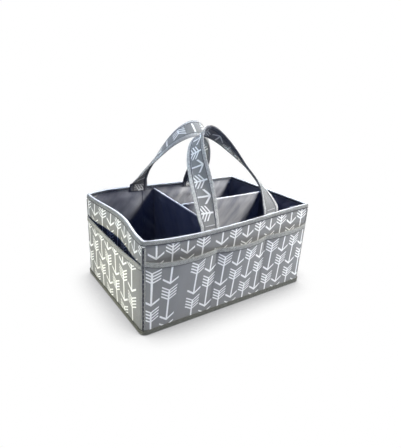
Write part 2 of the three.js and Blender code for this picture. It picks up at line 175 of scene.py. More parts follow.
# Grey cloth with a common arrow print: tip, open head, shaft and feathers in half-drop columns
arrowPrint = {
    "column": 0.0304, "repeat": 0.073, "tip": 0.002, "shaft": 0.059, "line": 0.0032, "featherLine": 0.36,
    "halfWidth": 0.0138, "headSlope": 0.72, "wingSlope": 0.62, "firstWing": 0.0410, "wingStep": 0.0060, "wings": 4,
    "edge": 0.0005, "wingEdge": 0.0003, "bleed": 0.0007, "bleedScale": 900, "wearScale": 22,
    "ground": (0.208, 0.210, 0.212), "groundWorn": (0.262, 0.262, 0.256),
    "ink": (0.88, 0.88, 0.87), "inkWorn": (0.83, 0.83, 0.82),
    "thread": 0.0006, "relief": 0.00012, "inkRelief": 0.35, "rough": 0.86,
}
def makePrintedCloth():
    p = arrowPrint
    material, shader, spot = newMaterial(
        "printedCloth", {"Specular IOR Level": 0.22, "Sheen Weight": 0.12, "Sheen Roughness": 0.5})
    u, v = spot.clothMap().split()
    ragged = spot.speckle(p["bleedScale"], 1.0) * p["bleed"] - p["bleed"] / 2  # ink bleeds along the threads
    column = (u / p["column"]).floor()
    side = abs(u - (column + 0.5) * p["column"])
    high = (v + (column % 2.0) * (p["repeat"] / 2)) % p["repeat"] - p["tip"]
    headTilt, wingTilt = (math.cos(math.atan(p[slope])) for slope in ("headSlope", "wingSlope"))
    inColumn = side.under(p["halfWidth"], p["edge"])
    head = (abs(high - side * p["headSlope"]) * headTilt + ragged).under(p["line"] / 2, p["edge"]) * inColumn
    wing = high - side * p["wingSlope"] - p["firstWing"] + p["wingStep"] / 2
    feather = abs(wing % p["wingStep"] - p["wingStep"] / 2) * wingTilt + ragged
    feather = feather.under(p["line"] * p["featherLine"], p["edge"])
    spread = p["wings"] * p["wingStep"] / 2
    feather = feather * abs(wing - spread).under(spread, p["wingEdge"]) * inColumn
    halfShaft = p["shaft"] / 2
    shaft = (side + ragged).under(p["line"] / 2, p["edge"]) * abs(high - halfShaft).under(halfShaft, p["edge"])
    arrow = head.atLeast(feather).atLeast(shaft)
    threads = weave(u, v, p["thread"])
    worn = spot.speckle(p["wearScale"], 4.0)
    ground = (worn * 0.7 + threads * 0.3).tint(p["ground"], p["groundWorn"])
    ink = (worn * 0.5 + (1 - threads) * 0.5).tint(p["ink"], p["inkWorn"])
    roughness = p["rough"] - arrow * 0.1 - worn * 0.06
    finishMaterial(shader, arrow.tint(ground, ink), roughness, threads + arrow * p["inkRelief"], p["relief"])
    return material


# Ribbed tape of the bound edges: slanting cords across the tape over a fine weave
tapeLook = {
    "rib": 0.0030, "slant": 0.8, "thread": 0.0005, "cloudScale": 45, "mottleScale": 330, "mottle": 1.4,
    "foldSoft": 0.0015, "lineFull": 1.6, "relief": 0.0004, "rough": 0.84,
}
# lines are (middle, distance to either side, reach, colour) and inside is (from where, dark, pale)
def makeTape(name, dark, pale, lines=(), inside=None):
    t = tapeLook
    material, shader, spot = newMaterial(
        name, {"Specular IOR Level": 0.25, "Sheen Weight": 0.1, "Sheen Roughness": 0.45})
    u, v = spot.clothMap().split()
    rib = ribs(u + v * t["slant"], t["rib"])
    threads = weave(u, v, t["thread"])
    cloud = spot.speckle(t["cloudScale"], 3.0)
    mottle = spot.speckle(t["mottleScale"], 2.0)
    tone = (rib * 0.45 + threads * 0.1 + cloud * 0.2 + (mottle - 0.5) * t["mottle"] + 0.2).clamped()
    shade = tone.tint(dark, pale)
    if inside:  # past the fold the tape takes a second pair of tones: a darker pair is painted shade, a paler pair painted light
        past, darkInside, paleInside = inside
        shade = v.under(past, t["foldSoft"]).tint(tone.tint(darkInside, paleInside), shade)
    for middle, apart, reach, colour in lines:  # a line painted along the tape: a pale one is a painted highlight on a fold, a dark one painted shade in a groove
        near = (t["lineFull"] - abs(abs(v - middle) - apart) * (t["lineFull"] / reach)).clamped()
        shade = (near * (cloud * 0.6 + 0.6).clamped()).tint(shade, colour)
    finishMaterial(shader, shade, t["rough"] - rib * 0.14 - cloud * 0.05, rib + threads * 0.25, t["relief"])
    return material


# Satin of the lining: long floats one way, soft sheen, faint streaks along the warp; its creases carry painted sheen
# and painted shade, it is painted darker toward its ends and for bounced light, and a divider's top fold carries a
# painted highlight
satinLook = {
    "thread": 0.0004, "dark": (0.130, 0.142, 0.195), "pale": (0.64, 0.63, 0.645),
    "bounceShade": (0.0242, 0.0286, 0.044), "streaks": (900, 45, 1), "cloudScale": 18,
    "creaseAndSheen": 0.030, "creaseLong": 0.12, "creaseContrast": 2.9,
    "leftShade": (-0.099, 0.09), "rightShade": (0.180, 0.010),
    "fold": (0.1665, 0.0038), "foldHighlight": (0.86, 0.87, 0.91), "relief": 0.00006, "rough": 0.40,
}
def makeSatin(name, slant, drape, highlightFold=False, endShade=1.0):
    s = satinLook
    material, shader, spot = newMaterial(name, {"Specular IOR Level": 0.2, "Metallic": 0.03})
    cloth = spot.clothMap()
    u, v = cloth.split()
    streak = cloth.stretched(*s["streaks"]).speckle(1.0, 3.0)
    cloud = spot.speckle(s["cloudScale"], 3.0)
    threads = weave(u * 0.5, v, s["thread"])
    drawn = {0: (u + v * slant) / s["creaseAndSheen"], 1: v / s["creaseLong"]}
    creaseAndSheen = spot.node("ShaderNodeCombineXYZ", None, drawn).speckle(1.0, 4.0)
    creaseAndSheen = ((creaseAndSheen - 0.5) * s["creaseContrast"] + 0.46).clamped()
    creaseAndSheen = (creaseAndSheen - 0.4) * drape + 0.4
    along = spot.split()[0]
    (left, leftSoft), (right, rightSoft) = s["leftShade"], s["rightShade"]
    turned = ((along - left) / leftSoft).clamped() * ((right - along) / rightSoft).clamped()
    turned = turned * (1 - endShade) + endShade  # painted shade: the satin is darker toward its left and right ends, where the lining lies in shade
    # the creases are painted pale on their ridges and dark in their hollows, painted sheen and painted shade besides
    # their bump; the bluish dark tone is painted shade
    shade = ((streak * 0.2 + cloud * 0.2 + creaseAndSheen * 0.6) * turned).tint(s["dark"], s["pale"])
    bounceShade = spot.node("ShaderNodeLightPath", output="Is Diffuse Ray")
    shade = bounceShade.tint(shade, s["bounceShade"])  # painted shade: bounced light leaves the satin dark and bluish, so the inside of the caddy stays dark
    # painted highlight along the top of the rolled fold
    if highlightFold:
        middle, reach = s["fold"]
        shade = (1.4 - abs(v - middle) / reach).clamped().tint(shade, s["foldHighlight"])
    roughness = s["rough"] + streak * 0.14 - creaseAndSheen * 0.08
    finishMaterial(shader, shade, roughness, threads + streak * 1.5 + creaseAndSheen * 14, s["relief"])
    return material


# Hook and loop pile: short tangled fibres
pileLook = {
    "tangleScale": 1600, "row": 0.0016, "dark": (0.10, 0.10, 0.11), "pale": (0.27, 0.27, 0.285), "relief": 0.0005,
}
def makePile():
    p = pileLook
    material, shader, spot = newMaterial("hookPile", {"Specular IOR Level": 0.15, "Sheen Weight": 0.3})
    tangle = spot.speckle(p["tangleScale"], 4.0)
    rows = ribs(spot.clothMap().split()[1], p["row"])
    shade = (tangle * 0.8 + rows * 0.2).tint(p["dark"], p["pale"])
    finishMaterial(shader, shade, 0.95 - tangle * 0.1, tangle + rows * 0.4, p["relief"])
    return material


# Stiffening board under the cloth: pressed pale board with flecks
boardLook = {
    "fleckScale": 420, "grain": (30, 30, 260), "dark": (0.52, 0.50, 0.46), "pale": (0.74, 0.73, 0.70), "relief": 0.0001,
}
def makeBoard():
    b = boardLook
    material, shader, spot = newMaterial("boardStock", {"Specular IOR Level": 0.3})
    fleck = spot.speckle(b["fleckScale"], 5.0)
    grain = spot.stretched(*b["grain"]).speckle(1.0, 2.0)
    shade = (fleck * 0.6 + grain * 0.4).tint(b["dark"], b["pale"])
    finishMaterial(shader, shade, 0.62 + fleck * 0.2, fleck, b["relief"])
    return material


# Sewing thread with its twist
threadLook = {"twistScale": 1500, "relief": 0.00008}
def makeThread(name, dark, pale):
    material, shader, spot = newMaterial(name, {"Specular IOR Level": 0.4, "Sheen Weight": 0.1})
    twist = spot.speckle(threadLook["twistScale"], 2.0)
    finishMaterial(shader, twist.tint(dark, pale), 0.6 + twist * 0.2, twist, threadLook["relief"])
    return material


printedCloth = makePrintedCloth()
# rim tape: painted highlight along its top fold and a bluish one low on its inner leg, painted shade along its outer
# foot, and a darker bluish inner leg as painted shade
rimTapeCloth = makeTape(
    "rimTape", (0.107, 0.110, 0.110), (0.335, 0.338, 0.33),
    [(0.0116, 0, 0.0030, (0.94, 0.95, 0.97)), (0.0197, 0, 0.0009, (0.40, 0.44, 0.54)),
     (0.0013, 0, 0.0013, (0.03, 0.032, 0.036))],
    (0.0152, (0.045, 0.048, 0.058), (0.15, 0.155, 0.17)))
# painted shade along the lower edge of the pocket tape
pocketTapeCloth = makeTape(
    "pocketTape", (0.15, 0.153, 0.145), (0.42, 0.422, 0.40), [(0.0012, 0, 0.0011, (0.05, 0.052, 0.05))])
# painted shade in the grooves at the inner edges of the strap tape; strapShade is a painted-shade copy of the strap
# tape and strapLit a painted-light copy: the front tape takes strapShade before the fold and strapLit past it, the back
# tape strapShade past the fold
strapGrooveShade = [(0.0097, 0.0081, 0.0011, (0.03, 0.034, 0.05))]
strapShade = ((0.07, 0.074, 0.09), (0.23, 0.235, 0.26))
strapLit = ((0.23, 0.232, 0.232), (0.68, 0.68, 0.66))
strapTapes = {
    "front": makeTape("frontStrapTape", *strapShade, strapGrooveShade, (0.0097, *strapLit)),
    "back": makeTape("backStrapTape", (0.19, 0.193, 0.20), (0.56, 0.565, 0.57), strapGrooveShade, (0.0097, *strapShade)),
}
baseTape = makeTape("baseTape", (0.058, 0.060, 0.050), (0.160, 0.162, 0.136))
# painted shade along the groove between the two welts
cornerTape = makeTape(
    "cornerTape", (0.17, 0.172, 0.17), (0.36, 0.362, 0.35), [(0.0071, 0, 0.0021, (0.012, 0.014, 0.03))])
satinLining = makeSatin("satinLining", 0.9, 1.0, False, 0.4)
tautSatin = makeSatin("tautSatin", -0.9, 0.3, True)
foldedSatin = makeSatin("foldedSatin", -0.9, 1.0, True)
hookPile = makePile()
boardStock = makeBoard()
greyThread = makeThread("greyThread", (0.27, 0.27, 0.28), (0.42, 0.42, 0.43))
paleThread = makeThread("paleThread", (0.62, 0.62, 0.62), (0.85, 0.85, 0.84))
darkThread = makeThread("darkThread", (0.06, 0.06, 0.07), (0.13, 0.13, 0.14))
print("materials made")


def smooth(low, high, value):
    t = min(1, max(0, (value - low) / (high - low)))
    return t * t * (3 - 2 * t)


def ruffle(a, b, seed):
    return noise.noise(Vector((a, b, seed)))


# A wave between 0 and 1
def billow(a, b, seed):
    return 0.5 + 0.5 * ruffle(a, b, seed)


# Soft ridges: each kind has a pitch along, a pitch up, a seed, a sharpness and a weight
def ridges(along, up, kinds):
    return sum((1 - abs(ruffle(along / pitch, up / rise, seed))) ** sharp * weight
               for pitch, rise, seed, sharp, weight in kinds)


def steps(start, end, size):
    count = max(1, round(abs(end - start) / size))
    return [start + (end - start) * i / count for i in range(count + 1)]


def spans(values):
    return list(zip(values[:-1], values[1:]))


def addPiece(name, mesh, material, sharp=48):
    mesh.shade_smooth()
    mesh.set_sharp_from_angle(angle=math.radians(sharp))
    mesh.materials.append(material)
    return addObject(name, mesh)


# What a piece stands for, which is hidden, and the body that it rides on
def dress(piece, slot, rides, *nodes):
    if nodes:
        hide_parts(*nodes)
    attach(piece, rides)


# A closed outline carried over stations; the ends are zipped shut unless the stations close on themselves
def latticePiece(name, points, uSpans, vSpans, material, closed=False):
    points = np.asarray(points, float)
    count, around = points.shape[:2]
    faces, clothMap = [], []
    for i in range(count if closed else count - 1):
        a, b = i * around, (i + 1) % count * around
        for j in range(around):
            k = (j + 1) % around
            faces.append((a + j, b + j, b + k, a + k))
            (u0, u1), (v0, v1) = uSpans[i], vSpans[j]
            clothMap += [(u0, v0), (u1, v0), (u1, v1), (u0, v1)]
    if not closed:
        for a, u in ((0, uSpans[0][0]), ((count - 1) * around, uSpans[-1][1])):
            for j in range(around // 2 - 1):
                faces.append((a + j, a + j + 1, a + around - 2 - j, a + around - 1 - j))
                v0, v1 = vSpans[j]
                clothMap += [(u, v0), (u, v1), (u, v1), (u, v0)]
    mesh = bpy.data.meshes.new(name)
    mesh.from_pydata(points.reshape(-1, 3).tolist(), [], faces)
    mesh.uv_layers.new(name="cloth").data.foreach_set("uv", np.asarray(clothMap, float).ravel())
    work = bmesh.new()
    work.from_mesh(mesh)
    bmesh.ops.recalc_face_normals(work, faces=work.faces)
    work.to_mesh(mesh)
    work.free()
    return addPiece(name, mesh, material)


# A sheet of cloth with two faces: face(station, row, 0) is one side and face(station, row, 1) the other
def sheetPiece(name, stations, rows, face, uSpans, vRows, material, closed=False):
    points = [[face(s, r, 0) for r in rows] + [face(s, r, 1) for r in reversed(rows)] for s in stations]
    back = list(reversed(vRows))
    vSpans = spans(vRows) + [(vRows[-1], vRows[-1])] + spans(back) + [(vRows[0], vRows[0])]
    return latticePiece(name, points, uSpans, vSpans, material, closed)


# A tape whose section is a list of (depth, height) pairs; its map runs round the section
def tapePiece(name, stations, section, place, uSpans, material, closed=False):
    points = [[place(s, *pair) for pair in section] for s in stations]
    lengths = [0.0]
    for a, b in zip(section, section[1:] + section[:1]):
        lengths.append(lengths[-1] + math.dist(a, b))
    return latticePiece(name, points, uSpans, spans(lengths), material, closed)


# Walls of the caddy: along the wall, depth inward from its outer face, height
body = {
    "height": 0.177, "baseTall": 0.010, "cornerRadius": 0.008, "cornerStops": (15, 30, 45, 60, 75),
    "middle": 0.09, "cell": 0.006,
}
wallShapes = {
    "front": {"half": 0.182, "reach": 0.128, "bow": 0.015, "peak": -0.075, "fade": (0.8, 2), "growth": 1.3, "way": 1},
    "right": {"half": 0.120, "reach": 0.190, "bow": 0.0, "peak": 0.0, "fade": (1, 1), "growth": 0.7, "way": 1},
    "back": {"half": 0.182, "reach": 0.128, "bow": 0.014, "peak": -0.120, "fade": (0.8, 6), "growth": 1.3, "way": -1},
    "left": {"half": 0.120, "reach": 0.190, "bow": -0.013, "peak": -0.008, "fade": (2.5, 2.5), "growth": 0.7,
             "way": -1},
}
wallOrder = list(wallShapes)
cornerNames = ["front_right", "back_right", "back_left", "front_left"]
cornerMiddles = [(0.182, -0.120, -90), (0.182, 0.120, 0), (-0.182, 0.120, 90), (-0.182, -0.120, 180)]

# The rim has settled unevenly: each corner has its own height
cornerRise = {
    "frontRight": 0.005, "backRight": 0.0015, "backLeft": 0.003, "frontLeft": -0.002, "atX": 0.180, "atY": 0.118,
}


def settled(x, y, z):
    across = (min(1, max(-1, x / cornerRise["atX"])) + 1) / 2
    along = (min(1, max(-1, y / cornerRise["atY"])) + 1) / 2
    front = cornerRise["frontLeft"] * (1 - across) + cornerRise["frontRight"] * across
    back = cornerRise["backLeft"] * (1 - across) + cornerRise["backRight"] * across
    return (x, y, z * (1 + (front * (1 - along) + back * along) / body["height"]))


def placeOn(side, along, out, z):
    x, y = {"front": (along, -out), "back": (along, out), "left": (-out, along), "right": (out, along)}[side]
    return settled(x, y, z)


def bowAt(side, along, z):
    wall = wallShapes[side]
    before = along < wall["peak"]
    run = wall["half"] + wall["peak"] if before else wall["half"] - wall["peak"]
    share = min(1, abs(along - wall["peak"]) / run)
    lift = max(0, z - body["baseTall"]) / (body["height"] - body["baseTall"])
    return wall["bow"] * (1 - share ** 2) ** wall["fade"][0 if before else 1] * lift ** wall["growth"]


def onWall(side, along, depth, z):
    return placeOn(side, along, wallShapes[side]["reach"] - depth + bowAt(side, along, z), z)


def atCorner(index, degrees, depth, z):
    x, y, start = cornerMiddles[index]
    angle = math.radians(start + degrees)
    radius = body["cornerRadius"] - depth
    return settled(x + radius * math.cos(angle), y + radius * math.sin(angle), z)


# A station is (wall, distance along it) or (corner, degrees round it)
def isWall(station):
    return isinstance(station[0], str)


def onRing(station, depth, z):
    return (onWall if isWall(station) else atCorner)(*station, depth, z)


# Stations right round the caddy
def ringStations(size):
    stations = []
    for i, side in enumerate(wallOrder):
        half, way = wallShapes[side]["half"], wallShapes[side]["way"]
        stations += [(side, at) for at in steps(-half * way, half * way, size)]
        stations += [(i, degrees) for degrees in body["cornerStops"]]
    return stations


# Distance of a station from the middle of a wall, along the cloth
def wallMap(side, station):
    place, at = station
    wall, radius = wallShapes[side], body["cornerRadius"]
    if place == side:
        return at * wall["way"]
    after = place == wallOrder.index(side)
    return wall["half"] + radius * math.radians(at) if after else -wall["half"] - radius * math.radians(90 - at)


# The wall whose map a span takes; each corner is shared by halves
def ownerOf(first, second):
    for station in (first, second):
        if isWall(station):
            return station[0]
    return wallOrder[first[0]] if first[1] < 45 else wallOrder[(first[0] + 1) % 4]


# Map spans round the ring; shift(side, u) moves the print on each wall
def ringSpans(stations, shift=lambda side, u: u):
    found = []
    for first, second in zip(stations, stations[1:] + stations[:1]):
        side = ownerOf(first, second)
        found.append((shift(side, wallMap(side, first)), shift(side, wallMap(side, second))))
    return found


ring = ringStations(body["cell"])
ringRun = {}
travelled = 0.0
for first, second in zip(ring, ring[1:] + ring[:1]):
    ringRun[first] = travelled
    travelled += math.dist(onRing(first, 0, body["middle"]), onRing(second, 0, body["middle"]))

# Outer shell: one length of printed cloth round all four walls
shell = {
    "bottom": 0.0016, "top": 0.1752, "row": 0.007, "depth": 0.0002, "thick": 0.0008, "loose": 0.0011, "looseLow": 0.35,
    "looseUp": (0.12, 0.15), "heldUp": (0.158, 0.165), "billow": (0.045, 0.09, 3), "headsHigh": 0.1445,
    "printFrom": {"front": 0.178, "right": 0.014, "back": 0.006, "left": 0.087},
    "frontNudge": 0.0033, "frontDrawn": 0.0068, "drawnFrom": (-0.105, -0.175), "gapAt": -0.0716, "gap": 0.010,
}
def shellShift(side, u):
    start, halfColumn = shell["printFrom"][side], arrowPrint["column"] / 2
    if side == "front":  # drawn toward the corner, and bare cloth between two columns
        u -= shell["frontNudge"] + shell["frontDrawn"] * smooth(*shell["drawnFrom"], u)
        return min(u, max(shell["gapAt"], u - shell["gap"])) + start + halfColumn
    return u + (start + halfColumn if side == "left" else start)


def shellFace(station, z, inner):
    low = shell["looseLow"]
    slack = shell["loose"] * (low + (1 - low) * smooth(*shell["looseUp"], z)) * (1 - smooth(*shell["heldUp"], z))
    pitch, rise, seed = shell["billow"]
    swell = slack * billow(ringRun[station] / pitch, z / rise, seed) if isWall(station) else 0
    return onRing(station, shell["depth"] - swell + inner * shell["thick"], z)


rows = steps(shell["bottom"], shell["top"], shell["row"])
vRows = [z - shell["headsHigh"] + arrowPrint["tip"] for z in rows]
outerShell = sheetPiece("outerShell", ring, rows, shellFace, ringSpans(ring, shellShift), vRows, printedCloth, True)
dress(outerShell, "print", "caddy", *[f"outer_{side}_panel" for side in wallOrder])
print("outer shell made")

# Lining: one satin shell inside the walls, with soft folds that only lean inward
lining = {
    "outer": 0.0047, "thick": 0.0007, "bottom": 0.0055, "top": 0.1752, "row": 0.0055, "fold": 0.0052, "slant": 0.55,
    "ridges": [(0.05, 0.16, 11, 4, 0.75), (0.021, 0.10, 23, 5, 0.35)],
    "flatTop": (0.1652, 0.154), "flatFoot": (0.006, 0.03), "flatEnds": 0.02,
    "sewn": {"front": (-0.084, -0.075, -0.032, -0.040), "back": (-0.074, -0.065, -0.022, -0.030),
             "right": (-0.010, -0.002, 0.034, 0.026)},
    "strapFeet": (-0.062, 0.050), "drawnFrom": 0.172, "drawnReach": (0.11, 0.02),
    "drawnFan": 3.1, "drawnApart": 90, "drawnRidge": [(1, 1, 29, 5, 1.3)], "drawnFlat": 0.25,
}
def liningQuiet(station, z):
    if not isWall(station):
        return 0
    place, at = station
    quiet = smooth(*lining["flatTop"], z) * smooth(*lining["flatFoot"], z)
    if place in lining["sewn"]:  # held flat under a flange or the loop strip
        outFrom, outTo, backFrom, backTo = lining["sewn"][place]
        quiet *= 1 - smooth(outFrom, outTo, at) * smooth(backFrom, backTo, at)
    half = wallShapes[place]["half"]
    return quiet * smooth(half, half - lining["flatEnds"], abs(at))


def liningFace(station, z, inner):
    ridge = ridges(ringRun[station] + z * lining["slant"], z, lining["ridges"])
    if station[0] == "back":  # the lining is drawn up under the sewn straps
        for foot in lining["strapFeet"]:
            across, down = station[1] - foot, lining["drawnFrom"] - z
            pull = smooth(*lining["drawnReach"], math.hypot(across, down))
            turned = math.atan2(across, down) * lining["drawnFan"]
            fan = ridges(turned, foot * lining["drawnApart"], lining["drawnRidge"])
            ridge += pull * (fan - lining["drawnFlat"])
    depth = lining["outer"] + lining["fold"] * max(0, ridge) * liningQuiet(station, z)
    return onRing(station, depth + inner * lining["thick"], z)


rows = steps(lining["bottom"], lining["top"], lining["row"])
liningShell = sheetPiece("liningShell", ring, rows, liningFace, ringSpans(ring), rows, satinLining, True)
dress(liningShell, "satin", "caddy", *[f"lining_{side}" for side in wallOrder])

# Where the dividers stand; the cross divider leans along its length
dividerPlace = {"crossX": -0.0384, "longY": 0.012, "lean": 0.039}

# Floor lining, slack between the walls and flat under the dividers
floorCloth = {
    "halfX": 0.1842, "halfY": 0.1222, "cell": 0.008, "low": 0.0046, "thick": 0.0008, "slack": 0.0016,
    "billow": (0.06, 0.05, 5), "swingFrom": -0.035, "swing": 0.36, "longFrom": -0.04, "flatNear": (0.004, 0.02),
    "flatY": (0.122, 0.105), "flatX": (0.184, 0.165),
}
def floorFace(x, y, upper):
    f, offLong = floorCloth, y - dividerPlace["longY"]
    swept = abs(offLong) - max(0, x - f["swingFrom"]) * f["swing"]  # flat where the long divider's foot swings
    offCross = abs(x - dividerPlace["crossX"] - dividerPlace["lean"] * offLong)
    near = min(offCross, swept if x > f["longFrom"] else 1)
    slack = f["slack"] * smooth(*f["flatNear"], near) * smooth(*f["flatY"], abs(y)) * smooth(*f["flatX"], abs(x))
    pitchX, pitchY, seed = f["billow"]
    return (x, y, f["low"] + slack * billow(x / pitchX, y / pitchY, seed) + upper * f["thick"])


halfX, halfY = floorCloth["halfX"], floorCloth["halfY"]
columns, rows = steps(-halfX, halfX, floorCloth["cell"]), steps(-halfY, halfY, floorCloth["cell"])
floorLining = sheetPiece("floorLining", columns, rows, floorFace, spans(columns), rows, satinLining)
dress(floorLining, "satin", "caddy", "lining_floor")

# Bottom panel, drawn up a little in the middle
bottom = {
    "halfX": 0.1826, "halfY": 0.1206, "cell": 0.012, "low": 0.0001, "rise": 0.0005, "thick": 0.0006,
    "flatX": 0.183, "flatY": 0.121,
}
def bottomFace(x, y, upper):
    rise = bottom["rise"] * (1 - (x / bottom["flatX"]) ** 2) * (1 - (y / bottom["flatY"]) ** 2)
    return (x, y, bottom["low"] + rise + upper * bottom["thick"])


halfX, halfY = bottom["halfX"], bottom["halfY"]
columns, rows = steps(-halfX, halfX, bottom["cell"]), steps(-halfY, halfY, bottom["cell"])
bottomPanel = sheetPiece("bottomPanel", columns, rows, bottomFace, spans(columns), rows, printedCloth)
dress(bottomPanel, "print", "caddy", "base_panel")

# Tapes round the rim and the foot, each section as (depth, height) from its outer edge round to the inner face
rimTape = [
    (-0.0013, 0.1688), (-0.00135, 0.1697), (-0.0014, 0.1712), (-0.00135, 0.1730), (-0.0011, 0.1748), (-0.0004, 0.1761),
    (0.0008, 0.1768), (0.0027, 0.1770), (0.0046, 0.1768), (0.0058, 0.1761), (0.0065, 0.1748), (0.0068, 0.1730),
    (0.0068, 0.1722), (0.00675, 0.1712), (0.0067, 0.1702),
    (0.0059, 0.1702), (0.0059, 0.1712), (0.0059, 0.1722), (0.0059, 0.1730), (0.0057, 0.1745), (0.0052, 0.1755),
    (0.0043, 0.1759), (0.0027, 0.1760), (0.0011, 0.1759), (0.0002, 0.1755), (-0.0003, 0.1745), (-0.0004, 0.1730),
    (-0.0004, 0.1712), (-0.0004, 0.1697), (-0.0004, 0.1688),
]
rimWave = {"size": 0.0004, "pitch": 0.03, "seed": 7, "below": (0.172, 0.165)}
def rimPlace(station, depth, z):
    wave = rimWave["size"] * ruffle(ringRun[station] / rimWave["pitch"], 0, rimWave["seed"])
    return onRing(station, depth, z + wave * smooth(*rimWave["below"], z))


rimBinding = tapePiece("rimBinding", ring, rimTape, rimPlace, ringSpans(ring), rimTapeCloth, True)
dress(rimBinding, "tape", "caddy", "rim_binding")
footTape = [
    (-0.0027, 0.0100), (-0.0034, 0.0099), (-0.0036, 0.0085), (-0.0036, 0.0050), (-0.0035, 0.0020), (-0.0028, 0.0006),
    (-0.0016, 0.0001), (0.0010, 0.0000), (0.0040, 0.0000), (0.0067, 0.0001),
    (0.0067, 0.0009), (0.0040, 0.0009), (0.0010, 0.0009), (-0.0010, 0.0009), (-0.0019, 0.0012), (-0.0025, 0.0022),
    (-0.00265, 0.0035), (-0.00265, 0.0050), (-0.00265, 0.0070), (-0.00265, 0.0085),
]
footBinding = tapePiece("footBinding", ring, footTape, onRing, ringSpans(ring), baseTape, True)
dress(footBinding, "tape", "caddy", "base_binding")

# Corner seams: two rolled welts with a groove between them
cornerSeam = {
    "bottom": 0.0098, "top": 0.1655, "row": 0.004, "low": 0.0005, "proud": 0.0021, "sunk": 0.0012, "from": 14, "to": 76,
    "strips": 16, "mapRadius": 0.009, "uneven": 0.12, "unevenPitch": (0.012, 40),
}
turn = cornerSeam["to"] - cornerSeam["from"]
seamDegrees = [cornerSeam["from"] + turn * k / cornerSeam["strips"] for k in range(cornerSeam["strips"] + 1)]
levels = steps(cornerSeam["bottom"], cornerSeam["top"], cornerSeam["row"])
arc = [math.radians(degrees) * cornerSeam["mapRadius"] for degrees in seamDegrees]
for index, cornerName in enumerate(cornerNames):
    def seamFace(z, degrees, inner):
        if inner:
            return atCorner(index, degrees, cornerSeam["sunk"], z)
        roll = math.sin(2 * math.pi * (degrees - cornerSeam["from"]) / turn) ** 2
        pitchUp, pitchRound = cornerSeam["unevenPitch"]
        uneven = 1 + cornerSeam["uneven"] * ruffle(z / pitchUp, degrees / pitchRound, index)
        rise = cornerSeam["low"] + (cornerSeam["proud"] - cornerSeam["low"]) * roll * uneven
        return atCorner(index, degrees, -rise, z)
    welt = sheetPiece(f"cornerSeam_{cornerName}", levels, seamDegrees, seamFace, spans(levels), arc, cornerTape)
    dress(welt, "tape", "caddy", f"corner_binding_{cornerName}")
print("body cloth and tapes made")

# Pockets: a panel that stands off between its seams, with a bound edge
# lift is how far a pocket is drawn up at the front left corner, where it is full and where it ends
pocketCloth = {
    "inner": -0.0013, "outer": -0.0022, "middle": -0.0018, "bottom": 0.0022, "belowEdge": 0.0012,
    "row": 0.006, "cell": 0.005, "wrap": (7, 16, 26), "tuck": 0.0012, "bulgeGrowth": 1.4, "liftUp": (0.0, 0.11),
    "limp": 0.0010, "limpPitch": (0.04, 0.06), "limpUp": (0.01, 0.05), "limpEnds": 0.12,
    "frontGap": 0.0209, "leftScale": 0.9, "leftColumns": (1.766, 5), "flatAt": 0.1,
}
pockets = {
    "front": {"height": 0.136, "seams": [-0.052, 0.069], "bulges": [0.011, 0.009, 0.008], "follows": 1, "skew": 0.78,
              "printFrom": 0.0950, "heads": 0.0560, "seed": 31, "lift": (0.0058, -0.120, 0.060)},
    "back": {"height": 0.136, "seams": [-0.061, 0.061], "bulges": [0.009, 0.009, 0.009], "follows": 1, "skew": 1,
             "printFrom": 0.006, "heads": 0.060, "seed": 37},
    "left": {"height": 0.132, "seams": [], "bulges": [0.002], "follows": 0, "skew": 1,
             "heads": 0.069, "seed": 41, "lift": (0.0035, -0.120, -0.040)},
    "right": {"height": 0.129, "seams": [], "bulges": [0.008], "follows": 1, "skew": 1,
              "printFrom": 0.010, "heads": 0.058, "seed": 43},
}


def pocketShift(side, u):
    column = arrowPrint["column"]
    if side == "left":  # drawn a little together, and bare toward the front
        start, last = pocketCloth["leftColumns"]
        return min(u * pocketCloth["leftScale"] + column * start, column * last)
    if side == "front":  # bare cloth between two columns
        u += pockets["front"]["printFrom"] + column / 2
        return u if u > 0 else min(0, u + pocketCloth["frontGap"])
    return u + pockets[side]["printFrom"]


def pocketAt(side, station, depth, z):
    place, at = station
    p, wall, c = pockets[side], wallShapes[side], pocketCloth
    if "lift" in p:
        lift, near, far = p["lift"]
        share = smooth(far, near, at) if isWall(station) else float(cornerNames[place] == "front_left")
        z += lift * share * smooth(*c["liftUp"], z)
    if not isWall(station):
        away = at if place == wallOrder.index(side) else 90 - at
        return atCorner(place, at, depth + c["tuck"] * smooth(0, c["wrap"][-1], away), z)
    stops = [-wall["half"], *p["seams"], wall["half"]]
    i = sum(at >= seam for seam in p["seams"])
    share = (at - stops[i]) / (stops[i + 1] - stops[i])
    skewed = share ** p["skew"] if i == 0 else share
    lift = max(0, z - body["baseTall"]) / (p["height"] - body["baseTall"])
    off = p["bulges"][i] * 4 * max(0, skewed * (1 - skewed)) * lift ** c["bulgeGrowth"]
    ends = smooth(0, c["limpEnds"], share) * smooth(1, 1 - c["limpEnds"], share)
    limp = c["limp"] * ends * smooth(*c["limpUp"], z)
    pitch, rise = c["limpPitch"]
    off += limp * billow(at / pitch, z / rise, p["seed"])
    bow = bowAt(side, at, z) if p["follows"] else 0
    return placeOn(side, at, wall["reach"] - depth + bow + off, z)


